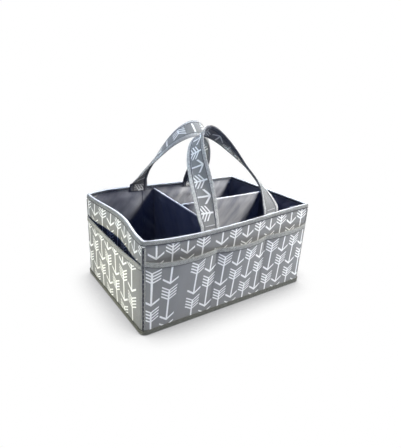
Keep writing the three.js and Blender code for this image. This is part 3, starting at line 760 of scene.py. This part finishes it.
# Section of a pocket's bound edge: depth, and drop from the top
pocketTape = [
    (-0.0024, 0.0102), (-0.0031, 0.0101), (-0.0033, 0.0090), (-0.0033, 0.0065), (-0.0033, 0.0030), (-0.0031, 0.0012),
    (-0.0024, 0.0002), (-0.0018, 0.0000), (-0.0012, 0.0002), (-0.0005, 0.0012),
    (-0.0003, 0.0030), (-0.0003, 0.0065), (-0.0003, 0.0090), (-0.0003, 0.0102),
    (-0.0010, 0.0102), (-0.0010, 0.0090), (-0.0010, 0.0065), (-0.0010, 0.0030), (-0.0012, 0.0016),
    (-0.0018, 0.0010), (-0.0022, 0.0016), (-0.0024, 0.0030), (-0.0024, 0.0065), (-0.0024, 0.0090),
]
pocketStations = {}
for index, side in enumerate(wallOrder):
    p, wall, c = pockets[side], wallShapes[side], pocketCloth
    stops = [-wall["half"], *p["seams"], wall["half"]]
    alongs = [stops[0]]
    for a, b in spans(stops):
        alongs += steps(a, b, c["cell"])[1:]
    stations = [((index - 1) % 4, 90 - degrees) for degrees in reversed(c["wrap"])]
    stations += [(side, at) for at in alongs[::wall["way"]]]
    stations += [(index, degrees) for degrees in c["wrap"]]
    pocketStations[side] = stations
    place = lambda station, depth, z: pocketAt(side, station, depth, z)
    plainMap = [wallMap(side, station) for station in stations]
    uMap = [pocketShift(side, u) for u in plainMap]
    rows = steps(c["bottom"], p["height"] - c["belowEdge"], c["row"])
    vRows = [z - p["heads"] + arrowPrint["tip"] for z in rows]
    face = lambda station, z, inner: place(station, c["inner"] if inner else c["outer"], z)
    panel = sheetPiece(f"{side}Pocket", stations, rows, face, spans(uMap), vRows, printedCloth)
    dress(panel, "print", "caddy", f"{side}_pocket")
    middle = [place(station, c["middle"], c["flatAt"]) for station in stations]
    flatWidth = sum(math.dist(a, b) for a, b in spans(middle))
    rows[-1] - rows[0]
    edge = lambda station, depth, drop: place(station, depth, p["height"] - drop)
    binding = tapePiece(f"{side}PocketBinding", stations, pocketTape, edge, spans(plainMap), pocketTapeCloth)
    dress(binding, "tape", "caddy", f"{side}_pocket_binding")
print("pockets made")

# Dividers: board inside a folded satin cover, with soft folds on the faces
divider = {
    "half": 0.0019, "top": 0.170, "foot": 0.0058, "row": 0.006, "roll": 0.0023, "rollParts": 8,
    "skin": 0.0005, "cell": 0.006, "fold": 0.0040, "slants": (-0.6, 0.5), "flatTop": (0.004, 0.016),
    "flatFoot": (0.01, 0.04), "flatEnds": 0.014, "swingFlat": (0.022, 0.042),
}
def dividerOutline(levels, skin):
    roll, top = divider["roll"] - skin, divider["top"] - skin
    up = [(-divider["half"] + skin, z) for z in levels]
    angles = [math.pi * k / divider["rollParts"] for k in range(divider["rollParts"] + 1)]
    over = [(-roll * math.cos(angle), top - roll + roll * math.sin(angle)) for angle in angles]
    return up + over + [(-d, z) for d, z in reversed(up)]


# The folds keep clear of one place on the far face, where the other divider swings
def dividerCover(name, stations, place, material, seed, swingAt=None):
    levels = steps(divider["foot"], divider["top"] - divider["row"], divider["row"])
    outer, inner = dividerOutline(levels, 0), dividerOutline(levels, divider["skin"])
    low, high = stations[0], stations[-1]
    topFrom, topTo = (divider["top"] - drop for drop in divider["flatTop"])
    def skinPoint(s, d, z):
        far = d > 0
        quiet = smooth(topFrom, topTo, z) * smooth(*divider["flatFoot"], z)
        quiet *= smooth(low, low + divider["flatEnds"], s) * smooth(high, high - divider["flatEnds"], s)
        if swingAt and far:
            quiet *= smooth(*divider["swingFlat"], abs(s - swingAt))
        slant = s + z * divider["slants"][0 if d < 0 else 1]
        ridge = ridges(slant, z, [(0.036, 0.13, seed + (9 if far else 0), 5, 1), (0.015, 0.09, seed + 5, 4, 0.35)])
        return place(s, d + math.copysign(divider["fold"] * ridge * quiet, d), z)
    points = [[skinPoint(s, d, z) for d, z in outer + inner[::-1]] for s in stations]
    run = [0.0]
    for a, b in spans(outer):
        run.append(run[-1] + math.dist(a, b))
    vSpans = spans(run) + [(run[-1], run[-1])] + spans(run[::-1]) + [(0, 0)]
    return latticePiece(name, points, spans(stations), vSpans, material)


crossDivider = {"half": 0.13, "skew": 0.010, "pivot": 0.547, "depth": 0.0068, "seed": 53}
def crossAt(s, d, z):
    c = crossDivider
    share = (s + c["half"]) / (2 * c["half"])
    x = dividerPlace["crossX"] + d + c["skew"] * (share - c["pivot"])
    low = min(z, divider["top"])
    near, far = (Vector(onWall(side, x, c["depth"], low)) for side in ("front", "back"))
    y, up = (near + (far - near) * share)[1:]
    return (x, y, up + z - low)


longY = dividerPlace["longY"]
stations = steps(-crossDivider["half"], crossDivider["half"], divider["cell"])
crossCover = dividerCover("crossDivider", stations, crossAt, tautSatin, crossDivider["seed"], longY)
dress(crossCover, "satin", "caddy", "cross_divider_cover")
longDivider = {"from": -0.0327, "to": 0.1814, "seed": 67}
longAt = lambda s, d, z: (s, longY + d, z)
stations = steps(longDivider["from"], longDivider["to"], divider["cell"])
longCover = dividerCover("longDivider", stations, longAt, foldedSatin, longDivider["seed"])
dress(longCover, "satin", "long_divider", "long_divider_cover")

# Flanges that sew the cross divider to the walls
flanges = {
    "ends": {"front": -0.0460, "back": -0.0360}, "wide": 0.026, "bottom": 0.006, "top": 0.1645, "cell": (0.004, 0.006),
    "depth": 0.0057, "thick": 0.0007, "limp": 0.0006, "limpPitch": (0.02, 0.03), "seed": 71,
}
for side, end in flanges["ends"].items():
    columns = steps(end - flanges["wide"], end, flanges["cell"][0])
    rows = steps(flanges["bottom"], flanges["top"], flanges["cell"][1])
    def flangeFace(along, z, inner):
        pitch, rise = flanges["limpPitch"]
        lift = flanges["limp"] * billow(along / pitch, z / rise, flanges["seed"]) if inner else 0
        return onWall(side, along, flanges["depth"] + inner * flanges["thick"] + lift, z)
    flange = sheetPiece(f"crossFlange_{side}", columns, rows, flangeFace, spans(columns), rows, satinLining)
    dress(flange, "satin", "caddy", f"cross_divider_flange_{side}")

# Hook and loop strips, with softened edges
stripPile = {
    "bottom": 0.042, "top": 0.162, "cell": (0.002, 0.003), "thinned": 0.45, "softEdge": 0.0025,
    "rough": 0.00008, "roughPitch": 0.0015,
}
def stripPiece(name, fromX, toX, width, lean, seed):
    ys = steps(longY - width / 2, longY + width / 2, stripPile["cell"][0])
    zs = steps(stripPile["bottom"], stripPile["top"], stripPile["cell"][1])
    def face(y, z, inner):
        edge = min(abs(y - ys[0]), abs(y - ys[-1]), abs(z - zs[0]), abs(z - zs[-1]))
        thin = stripPile["thinned"] * (toX - fromX) * (1 - smooth(0, stripPile["softEdge"], edge))
        rough = stripPile["rough"] * ruffle(y / stripPile["roughPitch"], z / stripPile["roughPitch"], seed)
        x = toX - thin + rough if inner else fromX + thin - rough
        return (x + lean * (y - longY), y, z)
    return sheetPiece(name, ys, zs, face, spans(ys), zs, hookPile)


lean = dividerPlace["lean"]
for name, node, fromX, toX, width, skew, rides in (
    ("crossLoopStrip", "cross_loop_strip", -0.0360, -0.0350, 0.024, lean, "caddy"),
    ("wallLoopStrip", "wall_loop_strip", 0.1833, 0.1843, 0.020, 0, "caddy"),
    ("hingeTab", "divider_hinge_tab", -0.0347, -0.0337, 0.024, lean, "divider_tab"),
    ("dividerHook", "long_divider_hook", 0.1817, 0.1827, 0.020, 0, "long_divider"),
):
    dress(stripPiece(name, fromX, toX, width, skew, len(name)), "hook", rides, node)

# Folded cloth hinge between the tab and the long divider, pinched in the middle
hinge = {
    "from": -0.0338, "long": 0.0012, "bottom": 0.044, "top": 0.160, "cell": 0.0003, "row": 0.004,
    "thick": 0.0022, "pinch": 0.45,
}
def foldFace(x, z, inner):
    pinched = 1 - hinge["pinch"] * math.sin((x - hinge["from"]) / hinge["long"] * math.pi)
    return (x, longY + (inner - 0.5) * hinge["thick"] * pinched, z)


columns = steps(hinge["from"], hinge["from"] + hinge["long"], hinge["cell"])
rows = steps(hinge["bottom"], hinge["top"], hinge["row"])
hingeFold = sheetPiece("hingeFold", columns, rows, foldFace, spans(columns), rows, satinLining)
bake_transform(hingeFold)
print("dividers made")

# Handles: printed strap with bound edges, from its sewn tail up, half round in a twist, and down again
strap = {
    "half": 0.020, "tape": 0.0085, "core": 0.0009, "skin": 0.0007, "cup": 0.0014, "wave": (0.0009, 0.05, 83),
    "sewnDepth": 0.0085, "tail": (0.1680, 0.1697, 0.1714, 0.1732, 0.175), "footUp": 0.006, "bendDown": 0.004,
    "crestMiddle": -0.006, "crestApart": 0.0195, "plainEnds": 0.02, "endsSoft": 0.05,
    "lateFrom": (0.74, 0.26), "footTurnFrom": (0, 0.025), "footTurnTo": (0.22, 0.08),
    "strips": 16, "stations": 130, "fine": 1200, "rounding": 3,
}
handles = {
    "front": {
        "shift": 0.0075, "halfSpan": 0.075, "rise": 0.172, "belly": 0.007, "crestShift": -0.012,
        "shoulders": (1.4, 1.7), "early": 0.03, "bias": 0.08, "late": -0.26, "footTurn": 0.0, "sign": -1,
        "printAlong": 0.0075, "printScale": 1.053, "printAcross": 0.0125, "bare": 0.088,
        "bareFoot": arrowPrint["column"]},
    "back": {
        "shift": -0.007, "halfSpan": 0.065, "rise": 0.177, "belly": -0.005, "crestShift": 0.010,
        "shoulders": (0.95, 0.95), "early": 0.22, "bias": -0.23, "late": 0.0, "footTurn": 0.2, "sign": 1,
        "printAlong": 0.0444, "printScale": 1.0, "printAcross": 0.0245, "bare": 0.0, "bareFoot": 0.0},
}


# Middle line of a strap from one tail to the other, with the share of the loop behind each point
def strapLine(side):
    h = handles[side]
    sewnAt = [h["shift"] + way * h["halfSpan"] for way in (-1, 1)]
    sewn = lambda along, z: Vector(onWall(side, along, strap["sewnDepth"], z))
    up = Vector((0, 0, 1))
    feet = [sewn(along, body["height"]) + up * strap["footUp"] for along in sewnAt]
    foot = (feet[0] + feet[1]) / 2
    across = (feet[1] - feet[0]).normalized()
    halfSpan = (feet[1] - feet[0]).length / 2
    crest = strap["crestMiddle"] + h["sign"] * strap["crestApart"]
    lean = math.asin(h["sign"] * (foot.y - crest) / h["rise"])
    level = Vector((-across.y, across.x, 0)).normalized() * h["sign"]
    up = (up - across * across.z).normalized()
    rising = up * math.cos(lean) - level * math.sin(lean)
    outward = up * math.sin(lean) + level * math.cos(lean)
    def pointAt(t):
        high = max(0, math.sin(math.pi * t))
        along = h["crestShift"] * high * high - halfSpan * math.cos(math.pi * t)
        shoulder = h["shoulders"][0] + (h["shoulders"][1] - h["shoulders"][0]) * smooth(0, 1, t)
        raised = rising * h["rise"] * high ** shoulder
        return foot + across * along + raised + outward * h["belly"] * (4 * high * (1 - high)) ** 3
    times = np.arange(strap["fine"] + 1) / strap["fine"]
    fine = [pointAt(t) for t in times]
    run = np.concatenate([[0], np.cumsum([(b - a).length for a, b in spans(fine)])])
    loopShares = [k / strap["stations"] for k in range(strap["stations"] + 1)]
    loop = [pointAt(np.interp(share * run[-1], run, times)) for share in loopShares]
    tails = [[sewn(along, z) for z in strap["tail"]] for along in sewnAt]
    bends = [Vector((f.x, f.y, f.z - strap["bendDown"])) for f in feet]
    centres = tails[0] + [bends[0]] + loop + [bends[1]] + tails[1][::-1]
    sewnCount = len(strap["tail"]) + 1
    shares = [0.0] * sewnCount + loopShares + [1.0] * sewnCount
    for again in range(strap["rounding"]):  # the bend at the rim is rounded off
        middle = [(a + b * 2 + c) / 4 for a, b, c in zip(centres, centres[1:], centres[2:])]
        centres = [centres[0]] + middle + [centres[-1]]
    return centres, shares, across, outward


def handleStations(side):
    h = handles[side]
    centres, shares, across, outward = strapLine(side)
    found = []
    far = 0.0
    for k, (share, centre) in enumerate(zip(shares, centres)):
        if k:
            far += (centre - centres[k - 1]).length
        tangent = (centres[min(k + 1, len(centres) - 1)] - centres[max(k - 1, 0)]).normalized()
        turn = math.pi * share
        twist = turn + h["early"] * math.sin(2 * turn) + h["bias"] * math.sin(turn)
        lateStart, lateLong = strap["lateFrom"]
        twist += h["late"] * math.sin(math.pi * min(1, max(0, (share - lateStart) / lateLong))) ** 2
        twist += h["footTurn"] * smooth(*strap["footTurnFrom"], share) * smooth(*strap["footTurnTo"], share)
        wide = across * math.cos(twist) + outward * math.sin(twist)
        wide = (wide - tangent * wide.dot(tangent)).normalized()
        found.append({"centre": centre, "wide": wide, "thick": tangent.cross(wide), "far": far})
    ends, soft = strap["plainEnds"], strap["endsSoft"]
    size, pitch, seed = strap["wave"]
    for station in found:
        inside = smooth(0, soft, station["far"] - ends) * smooth(0, soft, far - ends - station["far"])
        station["cup"] = strap["cup"] * inside
        station["wave"] = size * inside * ruffle(station["far"] / pitch, h["sign"], seed)
    return found


def onStrap(station, w, t):
    bend = station["cup"] * (1 - 2 * (w / strap["half"]) ** 2) + station["wave"] * (w / strap["half"])
    return station["centre"] + station["wide"] * w + station["thick"] * (t + bend)


# A handle piece keeps its place, with its transform baked into the mesh
def onHandle(piece):
    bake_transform(piece)


# Section of the tape round a strap's edge: across the strap, and off its middle plane
def edgingOutline():
    half, core, top = strap["half"], strap["core"], strap["core"] + strap["skin"]
    inner, flat = half - strap["tape"], half - 0.0011
    flats = [inner + step for step in (0.0012, 0.0028, 0.0048, 0.0066)]
    outer = [(inner, core + 0.0001), (inner + 0.0003, top * 0.92)] + [(w, top) for w in flats]
    outer += [(half - 0.0012, top * 0.94), (half - 0.0003, top * 0.6), (half, 0)]
    hollow = [(w, core) for w in [inner + 0.0001, inner + 0.0004] + flats]
    hollow += [(flat, core * 0.9), (flat + 0.0003, core * 0.4), (flat + 0.0004, 0)]
    outer, hollow = (above + [(w, -t) for w, t in above[-2::-1]] for above in (outer, hollow))
    return outer + hollow[::-1]


handleLines = {side: handleStations(side) for side in handles}
strapEdge = strap["half"] - strap["skin"]
ws = [-strapEdge + 2 * strapEdge * k / strap["strips"] for k in range(strap["strips"] + 1)]
edging = edgingOutline()
for side, line in handleLines.items():
    h, core, column = handles[side], strap["core"], arrowPrint["column"]
    printed = lambda far: far * h["printScale"] + h["printAlong"]
    uMap = [max(printed(station["far"]), h["bareFoot"]) for station in line]
    if h["bare"]:  # no print on the last stretch
        last = math.floor(printed(line[-1]["far"] - h["bare"]) / column) * column
        uMap = [min(u, last) for u in uMap]
    vRows = [h["printAcross"] - w for w in ws]
    coreFace = lambda station, w, other: onStrap(station, w, -core if other else core)
    webbing = sheetPiece(f"{side}HandleStrap", line, ws, coreFace, spans(uMap), vRows, printedCloth)
    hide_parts(f"{side}_handle_strap", f"{side}_handle_tail_left", f"{side}_handle_tail_right")
    onHandle(webbing)
    runs = spans([station["far"] for station in line])
    for label, way in (("inner", 1), ("outer", -1)):
        place = lambda station, w, t: onStrap(station, way * w, t)
        tape = tapePiece(f"{side}HandleTape_{label}", line, edging, place, runs, strapTapes[side])
        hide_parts(f"{side}_handle_tape_{label}")
        onHandle(tape)
print("handles made")


# Stitches: short threads set along a path, all of one size unless a row has its own
stitchSize = {"Pitch": 0.0032, "Length": 0.0024, "Radius": 0.00028}
def makeStitchTree():
    tree = bpy.data.node_groups.new("sewnStitches", "GeometryNodeTree")
    face = tree.interface
    face.new_socket("Path", in_out="INPUT", socket_type="NodeSocketGeometry")
    for label, value in stitchSize.items():
        face.new_socket(label, in_out="INPUT", socket_type="NodeSocketFloat").default_value = value
    face.new_socket("Thread", in_out="INPUT", socket_type="NodeSocketMaterial")
    face.new_socket("Stitches", in_out="OUTPUT", socket_type="NodeSocketGeometry")
    given = Wire(tree).node("NodeGroupInput")
    path = given.node("GeometryNodeMeshToCurve", None, {"Mesh": given.beside("Path")})
    beads = path.node("GeometryNodeResampleCurve", {"mode": "LENGTH"}, {"Curve": path, "Length": given.beside("Pitch")})
    tangent = given.node("GeometryNodeInputTangent")
    turned = tangent.node("FunctionNodeAlignRotationToVector", {"axis": "Z"}, {"Vector": tangent})
    bit = given.node("GeometryNodeMeshIcoSphere", None, {"Radius": 1.0, "Subdivisions": 1})
    radius = given.beside("Radius")
    size = given.node("ShaderNodeCombineXYZ", None, {0: radius, 1: radius, 2: given.beside("Length") * 0.5})
    laid = {"Points": beads, "Instance": bit, "Rotation": turned, "Scale": size}
    laid = beads.node("GeometryNodeInstanceOnPoints", None, laid)
    real = laid.node("GeometryNodeRealizeInstances", None, {"Geometry": laid})
    painted = real.node("GeometryNodeSetMaterial", None, {"Geometry": real, "Material": given.beside("Thread")})
    tree.links.new(painted.socket, tree.nodes.new("NodeGroupOutput").inputs[0])
    return tree


stitchTree = makeStitchTree()
stitchKeys = {item.name: item.identifier for item in stitchTree.interface.items_tree if item.in_out == "INPUT"}


# paths is a list of (points, closed)
def stitchPiece(name, paths, thread, *sizes, sharp=80):
    points, edges = [], []
    for line, closed in paths:
        start = len(points)
        points += [tuple(p) for p in line]
        edges += [(start + i, start + i + 1) for i in range(len(line) - 1)]
        edges += [(len(points) - 1, start)] if closed else []
    guide = bpy.data.meshes.new(name + "Guide")
    guide.from_pydata(points, edges, [])
    carrier = addObject(name + "Guide", guide)
    sewn = carrier.modifiers.new("sewn", "NODES")
    sewn.node_group = stitchTree
    for label, value in zip((*stitchSize, "Thread"), (*(sizes or stitchSize.values()), thread)):
        sewn[stitchKeys[label]] = value
    bpy.context.view_layer.update()
    mesh = bpy.data.meshes.new_from_object(carrier.evaluated_get(bpy.context.evaluated_depsgraph_get()))
    carrier.modifiers.remove(sewn)
    bpy.data.objects.remove(carrier)
    bpy.data.meshes.remove(guide)
    mesh.materials.clear()
    return addPiece(name, mesh, thread, sharp)


# Where the rows run: depths and heights, with drops from the top of a pocket or a divider
# Bold, corner, strap and bar stitches have a pitch, a length and a radius of their own
sewing = {
    "rim": [(-0.00145, 0.1696), (0.0069, 0.1709)], "foot": [(-0.0037, 0.0084)],
    "boldStitch": (0.0032, 0.0024, 0.0004),
    "pocketDepth": -0.0034, "pocketDrop": 0.0090, "seamApart": 0.0011,
    "panelDepth": -0.0025, "panelFrom": 0.011, "panelDrop": 0.0112, "panelCell": 0.004,
    "tapeDepth": -0.0035, "tapeDrops": (0.0098, 0.001), "tapeCell": 0.003,
    "cornerAt": (45, -0.0011), "cornerRun": (0.012, 0.163, 0.004), "cornerStitch": (0.0085, 0.0035, 0.00035),
    "dividerDrop": 0.0065, "dividerOff": 0.0021, "crossRun": (-0.128, 0.128, 0.006), "longRun": (-0.0315, 0.180, 0.006),
    "strapAcross": 0.0131, "proud": 0.0001, "strapStitch": (0.0030, 0.0024, 0.00042),
    "bars": (2, 4, 6), "barRun": (-0.009, 0.009, 0.002), "barStitch": (0.0018, 0.0021, 0.0008),
}
rimLines, footLines = ([([onRing(s, *row) for s in ring], True) for row in sewing[key]] for key in ("rim", "foot"))
tapeLines, seamLines = [], []
for side in wallOrder:
    top = pockets[side]["height"]
    onPanel = (sewing["panelDepth"], steps(sewing["panelFrom"], top - sewing["panelDrop"], sewing["panelCell"]))
    onTape = (sewing["tapeDepth"], steps(*[top - drop for drop in sewing["tapeDrops"]], sewing["tapeCell"]))
    edge = [pocketAt(side, s, sewing["pocketDepth"], top - sewing["pocketDrop"]) for s in pocketStations[side]]
    tapeLines.append((edge, False))
    for seam in pockets[side]["seams"]:
        for at in (seam - sewing["seamApart"], seam + sewing["seamApart"]):
            for depth, levels in (onPanel, onTape):
                seamLines.append(([pocketAt(side, (side, at), depth, z) for z in levels], False))
levels = steps(*sewing["cornerRun"])
cornerLines = [([atCorner(index, *sewing["cornerAt"], z) for z in levels], False) for index in range(4)]
for piece in (
    stitchPiece("rimStitches", rimLines, darkThread, *sewing["boldStitch"]),
    stitchPiece("footStitches", footLines, darkThread),
    stitchPiece("pocketStitches", tapeLines, darkThread, *sewing["boldStitch"]),
    stitchPiece("seamStitches", seamLines, darkThread),
    stitchPiece("cornerStitches", cornerLines, greyThread, *sewing["cornerStitch"]),
):
    dress(piece, "tape", "caddy")
dividerRow = divider["top"] - sewing["dividerDrop"]
for name, place, run, rides in (
    ("crossDividerStitches", crossAt, sewing["crossRun"], "caddy"),
    ("longDividerStitches", longAt, sewing["longRun"], "long_divider"),
):
    offs = (-sewing["dividerOff"], sewing["dividerOff"])
    lines = [([place(s, d, dividerRow) for s in steps(*run)], False) for d in offs]
    dress(stitchPiece(name, lines, greyThread), "satin", rides)
for side, line in handleLines.items():
    proud = strap["core"] + strap["skin"] + sewing["proud"]
    across = (-sewing["strapAcross"], sewing["strapAcross"])
    lines = [([onStrap(s, w, off) for s in line], False) for w in across for off in (-proud, proud)]
    onHandle(stitchPiece(f"{side}HandleStitches", lines, darkThread, *sewing["strapStitch"]))
    proud = strap["core"] + sewing["proud"]
    sewnDown = [line[k] for k in sewing["bars"]] + [line[-1 - k] for k in sewing["bars"]]
    across = steps(*sewing["barRun"])
    bars = [([onStrap(s, w, off) for w in across], False) for s in sewnDown for off in (-proud, proud)]
    onHandle(stitchPiece(f"{side}HandleBars", bars, paleThread, *sewing["barStitch"]))
print("stitches made")

# Boards keep their solids and get their finish
for node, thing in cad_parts.items():
    if node.endswith("_board"):
        thing.data.materials.clear()
        thing.data.materials.append(boardStock)

# Floor, lamps and world; the floor and the world show white and give back less, and the floor's white carries a painted
# shadow near the caddy
stage = {
    "floorHalf": 6, "floorLow": -0.0004, "floorBounce": (0.50, 0.53, 0.60), "white": (1, 1, 1),
    "shadowReach": 0.085, "shadowDark": (0.24, 0.24, 0.25), "shadowGain": 1.9, "shadowFrom": 0.55,
    "worldLight": (0.006, 0.030, 0.165),
}


# 1 for what the camera sees, also in a reflection or through glass
def seenDirectly(tree):
    rays = Wire(tree).node("ShaderNodeLightPath", output="Is Camera Ray")
    return (rays + rays.beside("Is Glossy Ray") + rays.beside("Is Transmission Ray")).clamped()


def makeFloor():
    material, shader = plainMaterial(
        "paleFloor", {"Base Color": (*stage["floorBounce"], 1), "Roughness": 0.9, "Specular IOR Level": 0.1})
    tree = material.node_tree
    seen = seenDirectly(tree)
    # painted shadow: the floor's white darkens near the caddy by ambient occlusion
    near = seen.node("ShaderNodeAmbientOcclusion", {"samples": 8}, {"Distance": stage["shadowReach"]}, "AO")
    clear = (near * stage["shadowGain"] - stage["shadowFrom"]).clamped()
    shown = clear.tint(stage["shadowDark"], stage["white"])
    white = seen.node("ShaderNodeEmission", None, {"Color": shown, "Strength": 1.0})
    mixed = seen.node("ShaderNodeMixShader", None, {0: seen, 1: Wire(tree, shader.outputs[0]), 2: white})
    tree.links.new(mixed.socket, tree.nodes["Material Output"].inputs["Surface"])
    return material


half = stage["floorHalf"]
floorMesh = bpy.data.meshes.new("floor")
floorMesh.from_pydata([(-half, -half, 0), (half, -half, 0), (half, half, 0), (-half, half, 0)], [], [(0, 1, 2, 3)])
floorMesh.materials.append(makeFloor())
floor = addObject("floor", floorMesh)
floor.location.z = stage["floorLow"]

# Lamps: where each stands, what it points at, its size, and its spread in degrees
lamps = {
    "keyLamp": {"place": (0.90, -0.92, 1.12), "aim": (0, 0, 0.10), "size": (0.35, 0.35), "spread": 180,
                "power": 34.0, "colour": (1.0, 0.99, 0.915)},
    "skyLamp": {"place": (0.45, 0.62, 1.75), "aim": (0, 0, 0.18), "size": (0.35, 0.35), "spread": 40,
                "power": 2.3, "colour": (0.80, 0.91, 1.0)},
    "leftFill": {"place": (-1.15, -0.10, 0.10), "aim": (-0.19, 0, 0.07), "size": (0.5, 0.16), "spread": 180,
                 "power": 2.6, "colour": (0.95, 0.97, 0.90)},
    "lowFill": {"place": (-1.15, -0.02, 0.04), "aim": (-0.19, 0, 0.07), "size": (0.26, 0.06), "spread": 28,
                "power": 0.29, "colour": (1.0, 0.98, 0.74)},
    "strapFill": {"place": (-1.15, -0.15, 0.02), "aim": (-0.02, -0.05, 0.29), "size": (0.30, 0.06), "spread": 18,
                  "power": 0.095, "colour": (0.62, 0.82, 1.0)},
    "lowBehind": {"place": (0.0, 1.05, 0.05), "aim": (0, 0.13, 0.075), "size": (0.36, 0.06), "spread": 24,
                  "power": 0.36, "colour": (1.0, 0.985, 0.85)},
}
for name, lamp in lamps.items():
    light = bpy.data.lights.new(name, "AREA")
    light.shape = "RECTANGLE"
    light.size, light.size_y = lamp["size"]
    light.energy = lamp["power"]
    light.color = lamp["colour"]
    light.spread = math.radians(lamp["spread"])
    holder = addObject(name, light)
    holder.location = lamp["place"]
    holder.rotation_euler = (Vector(lamp["aim"]) - Vector(lamp["place"])).to_track_quat("-Z", "Y").to_euler()


def makeWorld():
    world = bpy.data.worlds.new("studio")
    world.use_nodes = True
    tree = world.node_tree
    tree.nodes.clear()
    seen = seenDirectly(tree)
    shade = seen.tint(stage["worldLight"], stage["white"])
    light = seen.node("ShaderNodeBackground", None, {"Color": shade, "Strength": 1.0})
    tree.links.new(light.socket, tree.nodes.new("ShaderNodeOutputWorld").inputs["Surface"])
    scene.world = world


makeWorld()
scene.view_settings.view_transform = "Standard"
print("stage and lamps set")
